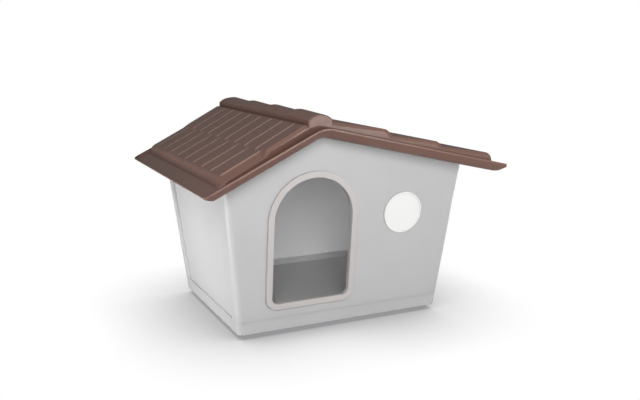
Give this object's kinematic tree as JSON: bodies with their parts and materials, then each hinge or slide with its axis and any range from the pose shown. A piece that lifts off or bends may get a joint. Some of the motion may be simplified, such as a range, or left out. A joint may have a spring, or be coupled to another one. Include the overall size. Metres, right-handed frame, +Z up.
{
  "type": "dog house",
  "caption": "Small plastic dog house with an arched doorway, leaning walls, a raised floor on pads and a lift-off tile roof held by turn clips.",
  "frame": {"origin": "on the ground under the middle of the roof", "axes": "+X to the right seen from in front of the doorway, +Y to the back, +Z up"},
  "size_m": [0.6, 0.505, 0.41],
  "materials": {
    "roof_brown": "brown polypropylene with a fine satin grain",
    "body_pale": "pale grey polypropylene with a fine satin grain",
    "frame_pale": "slightly warm pale grey satin plastic",
    "badge_white": "smooth white plastic",
    "clip_brown": "brown plastic as the roof",
    "foot_rubber": "dull dark rubber",
    "screw_steel": "plated steel"
  },
  "bodies": {
    "house": {"floor_tray": "body_pale", "front_wall": "body_pale", "back_wall": "body_pale", "left_wall": "body_pale", "right_wall": "body_pale", "door_frame": "frame_pale", "badge_plate": "badge_white", "floor_screws": "screw_steel", "clip_pivots": "screw_steel", "foot_front_left": "foot_rubber", "foot_front_right": "foot_rubber", "foot_back_left": "foot_rubber", "foot_back_right": "foot_rubber"},
    "roof": {"roof_shell": "roof_brown"},
    "left_clip": {"left_roof_clip": "clip_brown"},
    "right_clip": {"right_roof_clip": "clip_brown"}
  },
  "joints": [
    {"name": "roof_lift", "type": "slide", "parent": "house", "child": "roof", "axis": [0, 0, 1], "range_m": [0, 0.22]},
    {"name": "left_clip_turn", "type": "hinge", "parent": "house", "child": "left_clip", "pos_m": [-0.24021, 0, 0.26407], "axis": [0.9939, 0, 0.1103], "range_deg": [0, 90]},
    {"name": "right_clip_turn", "type": "hinge", "parent": "house", "child": "right_clip", "pos_m": [0.22571, 0, 0.27218], "axis": [-0.9939, 0, 0.1103], "range_deg": [0, 90]}
  ]
}
